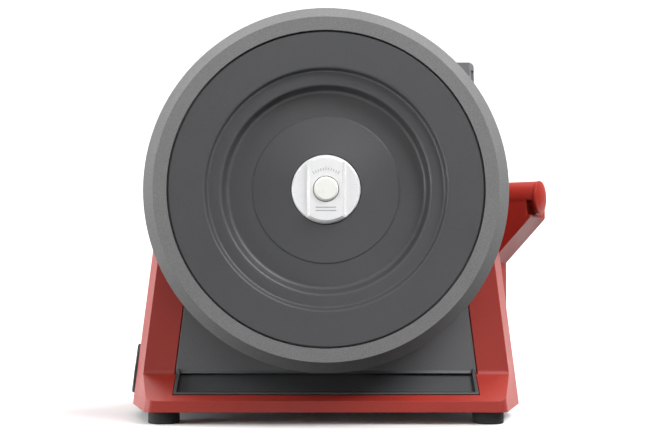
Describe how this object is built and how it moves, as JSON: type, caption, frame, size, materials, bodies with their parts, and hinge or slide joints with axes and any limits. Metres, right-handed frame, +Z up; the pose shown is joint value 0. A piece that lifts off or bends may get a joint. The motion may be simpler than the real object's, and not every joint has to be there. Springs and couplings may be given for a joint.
{
  "type": "wet grinding sharpener",
  "caption": "Bench sharpener with a large water stone on a quick-lock hub, faceted housing, drip tray, side arm and a leather honing wheel at the back.",
  "frame": {"origin": "on the floor, under the middle of the footprint", "axes": "+Z up, +X to the right of someone facing the stone, the stone's face looks along -Y"},
  "size_m": [0.3148, 0.239, 0.288],
  "materials": {
    "red_shell": "fine moulded texture, satin red",
    "red_arm": "powder coated red",
    "dark_panel": "dark grey, fine moulded texture",
    "stone": "fine grey abrasive grain",
    "core": "satin dark grey moulded",
    "lock_chrome": "satin chrome",
    "button": "cream white",
    "steel": "turned steel",
    "casting": "light grey painted die casting",
    "rubber": "black moulded rubber",
    "leather": "tanned leather band",
    "black_plastic": "black moulded plastic",
    "bronze": "sintered bronze",
    "motor_alloy": "cast aluminium",
    "laminations": "varnished steel laminations",
    "zinc_sheet": "zinc plated sheet"
  },
  "bodies": {
    "frame": {"housing": "red_shell", "side_arm": "red_arm", "arm_cap": "red_arm", "splash_panel": "dark_panel", "base_plate": "zinc_sheet", "rear_cover": "dark_panel", "support_casting": "casting", "cover_screws": "steel", "cable_gland": "rubber", "foot_front_left": "rubber", "foot_front_right": "rubber", "foot_rear_left": "rubber", "foot_rear_right": "rubber", "front_bush": "bronze", "rear_bush": "bronze", "motor_case": "motor_alloy", "motor_front_bell": "motor_alloy", "motor_rear_bell": "motor_alloy", "motor_stator": "laminations", "motor_saddle": "motor_alloy", "run_capacitor": "black_plastic", "switch_body": "black_plastic"},
    "spindle": {"spindle": "steel", "stone_flange": "steel", "stone_sleeve": "steel", "wheel_core": "core", "abrasive_ring": "stone", "drive_wheel": "black_plastic", "drive_tyre": "rubber", "honing_core": "black_plastic", "honing_leather": "leather", "honing_knob": "black_plastic"},
    "quick_lock": {"lock_disc": "lock_chrome", "lock_bar": "lock_chrome"},
    "lock_button": {"lock_button": "button"},
    "rotor": {"motor_shaft": "steel", "drive_roller": "steel", "motor_rotor": "laminations"},
    "drip_tray": {"drip_tray": "dark_panel"},
    "switch_knob": {"switch_knob": "black_plastic"}
  },
  "joints": [
    {"name": "spindle_spin", "type": "hinge", "parent": "frame", "child": "spindle", "pos_m": [-0.00991, -0.0885, 0.163], "axis": [0, 1, 0], "continuous": true},
    {"name": "motor_spin", "type": "hinge", "parent": "frame", "child": "rotor", "pos_m": [-0.00991, -0.0135, 0.0912], "axis": [0, 1, 0], "continuous": true},
    {"name": "lock_turn", "type": "hinge", "parent": "spindle", "child": "quick_lock", "pos_m": [-0.00991, -0.11, 0.163], "axis": [0, -1, 0], "range_deg": [0, 90]},
    {"name": "button_press", "type": "slide", "parent": "quick_lock", "child": "lock_button", "axis": [0, 1, 0], "range_m": [0, 0.0015], "stiffness_N_per_m": 400, "springref_m": -0.001},
    {"name": "tray_slide", "type": "slide", "parent": "frame", "child": "drip_tray", "axis": [0, -1, 0], "range_m": [0, 0.06]},
    {"name": "switch_turn", "type": "hinge", "parent": "frame", "child": "switch_knob", "pos_m": [-0.15042, -0.0095, 0.033], "axis": [-0.9924, 0, 0.1229], "range_deg": [0, 90]}
  ],
  "couplings": [
    {"joint": "motor_spin", "follows": "spindle_spin", "ratio": -12}
  ]
}
